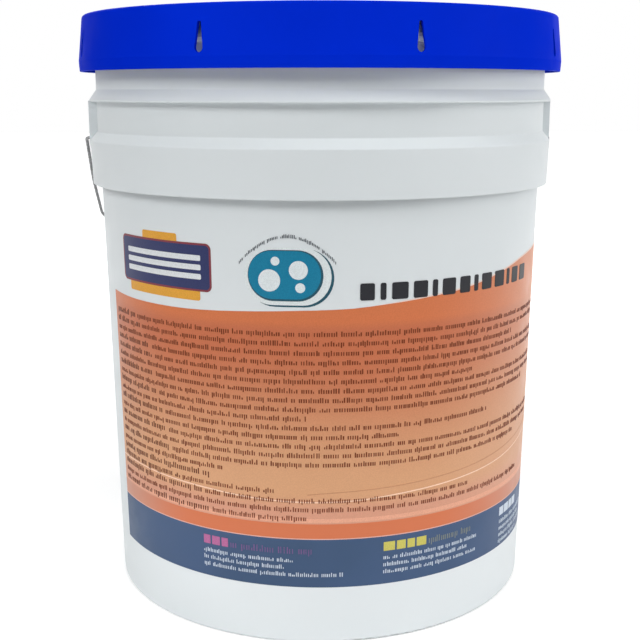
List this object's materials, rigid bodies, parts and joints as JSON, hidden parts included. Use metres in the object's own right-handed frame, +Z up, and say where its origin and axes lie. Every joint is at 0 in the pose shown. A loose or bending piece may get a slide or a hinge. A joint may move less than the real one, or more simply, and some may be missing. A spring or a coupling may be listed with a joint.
{
  "type": "washing powder pail",
  "caption": "Round white plastic pail of washing powder with a press-on blue lid, side ears and a steel wire bail with a plastic grip.",
  "frame": {"origin": "middle of the foot, on the surface that the pail stands on", "axes": "+Z up along the pail's axis, -Y towards the printed front, X along the bail's pivot line"},
  "size_m": [0.3188, 0.3172, 0.3714],
  "materials": {
    "pail_plastic": "white moulded polyethylene, satin, printed",
    "lid_plastic": "blue moulded polyethylene, satin",
    "gasket_foam": "soft closed foam",
    "bail_steel": "zinc plated drawn wire",
    "grip_plastic": "white moulded plastic",
    "powder": "fine dry granules"
  },
  "bodies": {
    "pail": {"pail_body": "pail_plastic", "washing_powder": "powder"},
    "lid": {"lid": "lid_plastic", "lid_gasket": "gasket_foam"},
    "bail": {"bail_wire": "bail_steel"},
    "grip": {"bail_grip": "grip_plastic"}
  },
  "joints": [
    {"name": "lid_lift", "type": "slide", "parent": "pail", "child": "lid", "axis": [0, 0, 1], "range_m": [0, 0.12]},
    {"name": "bail_swing", "type": "hinge", "parent": "pail", "child": "bail", "pos_m": [0, 0, 0.295], "axis": [1, 0, 0], "range_deg": [0, 254]},
    {"name": "grip_spin", "type": "hinge", "parent": "bail", "child": "grip", "pos_m": [0, 0.15227, 0.18026], "axis": [1, 0, 0], "continuous": true}
  ]
}
